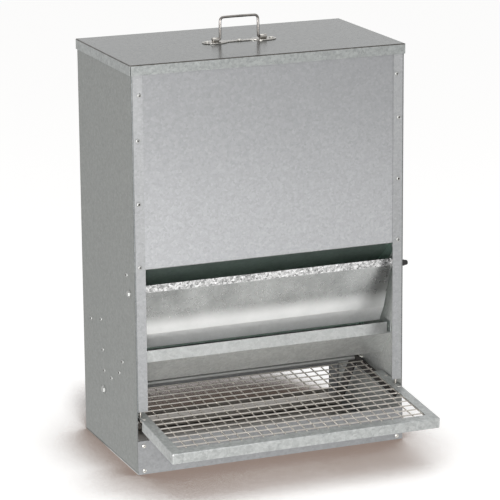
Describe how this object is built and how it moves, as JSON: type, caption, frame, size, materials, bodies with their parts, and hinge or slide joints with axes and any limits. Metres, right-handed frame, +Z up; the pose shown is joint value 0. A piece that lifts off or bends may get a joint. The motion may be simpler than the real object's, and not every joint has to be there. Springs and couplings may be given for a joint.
{
  "type": "poultry hopper feeder",
  "caption": "Galvanised sheet hopper feeder for poultry: a tall box with a lift-off lid, and a weldmesh treadle whose linkage swings a flap away from the feed trough.",
  "frame": {"origin": "on the floor, under the middle of the case from side to side and under the middle of the whole object from front to back", "axes": "+X to the object's right as seen from the front, +Y to the back, +Z up; the treadle is in front, towards -Y"},
  "size_m": [0.5261, 0.4439, 0.7612],
  "materials": {
    "galvanised_side": "dull spangled zinc",
    "galvanised_front": "soft spangled zinc",
    "galvanised_inside": "spangled zinc, seen in shade",
    "galvanised_slope": "spangled zinc, deep in shade",
    "galvanised_flap": "bright coarse spangle",
    "galvanised_pan": "soft spangled zinc",
    "galvanised_lid": "semi-gloss zinc",
    "galvanised_treadle": "soft spangled zinc",
    "bright_wire": "bright zinc-coated wire",
    "handle_wire": "dull zinc-coated wire",
    "dark_steel": "dull darkened steel",
    "zinc_plate": "zinc plate",
    "black_nut": "black satin"
  },
  "bodies": {
    "casing": {"left_side_panel": "galvanised_side", "right_side_panel": "galvanised_side", "front_panel": "galvanised_front", "back_panel": "galvanised_front", "bottom_pan": "galvanised_pan", "base_front_panel": "galvanised_front", "hopper_front_slope": "galvanised_slope", "feed_trough": "galvanised_inside", "flap_axle": "zinc_plate", "flap_axle_nut": "black_nut", "flap_axle_spacer_left": "zinc_plate", "flap_axle_spacer_right": "zinc_plate", "treadle_axle": "zinc_plate", "treadle_axle_nut": "zinc_plate", "treadle_axle_spacer_left": "zinc_plate", "treadle_axle_spacer_right": "zinc_plate", "base_screw_left_lower": "zinc_plate", "base_screw_left_upper": "zinc_plate", "base_screw_right_lower": "zinc_plate", "base_screw_right_upper": "zinc_plate"},
    "lid": {"lid_cover": "galvanised_lid", "handle_plate": "zinc_plate", "handle_rivet_left": "zinc_plate", "handle_rivet_middle": "zinc_plate", "handle_rivet_right": "zinc_plate"},
    "handle": {"handle_bail": "handle_wire"},
    "treadle": {"treadle_frame": "galvanised_treadle", "treadle_mesh": "bright_wire", "treadle_arm_left": "dark_steel", "treadle_arm_right": "dark_steel", "counterweight_bar": "galvanised_pan", "counterweight_screw_left": "zinc_plate", "counterweight_screw_right": "zinc_plate", "treadle_rivet_left_front": "zinc_plate", "treadle_rivet_left_rear": "zinc_plate", "treadle_rivet_right_front": "zinc_plate", "treadle_rivet_right_rear": "zinc_plate"},
    "flap": {"flap": "galvanised_flap"},
    "link_left": {"link_rod_left": "bright_wire"},
    "link_right": {"link_rod_right": "bright_wire"}
  },
  "joints": [
    {"name": "lid_lift", "type": "slide", "parent": "casing", "child": "lid", "axis": [0, 0, 1], "range_m": [0, 0.06]},
    {"name": "handle_fold", "type": "hinge", "parent": "lid", "child": "handle", "pos_m": [0, 0.08, 0.7199], "axis": [1, 0, 0], "range_deg": [-88, 88]},
    {"name": "treadle_tilt", "type": "hinge", "parent": "casing", "child": "treadle", "pos_m": [0, 0.112, 0.105], "axis": [1, 0, 0], "range_deg": [0, 5]},
    {"name": "flap_swing", "type": "hinge", "parent": "casing", "child": "flap", "pos_m": [0, -0.032, 0.316], "axis": [1, 0, 0], "range_deg": [0, 44]},
    {"name": "link_left_turn", "type": "hinge", "parent": "treadle", "child": "link_left", "pos_m": [-0.241, -0.05067, 0.09077], "axis": [1, 0, 0], "range_deg": [-5, 0]},
    {"name": "link_right_turn", "type": "hinge", "parent": "treadle", "child": "link_right", "pos_m": [0.241, -0.05067, 0.09077], "axis": [1, 0, 0], "range_deg": [-5, 0]}
  ],
  "couplings": [
    {"joint": "flap_swing", "follows": "treadle_tilt", "ratio": 8.8},
    {"joint": "link_left_turn", "follows": "treadle_tilt", "ratio": -1},
    {"joint": "link_right_turn", "follows": "treadle_tilt", "ratio": -1}
  ]
}
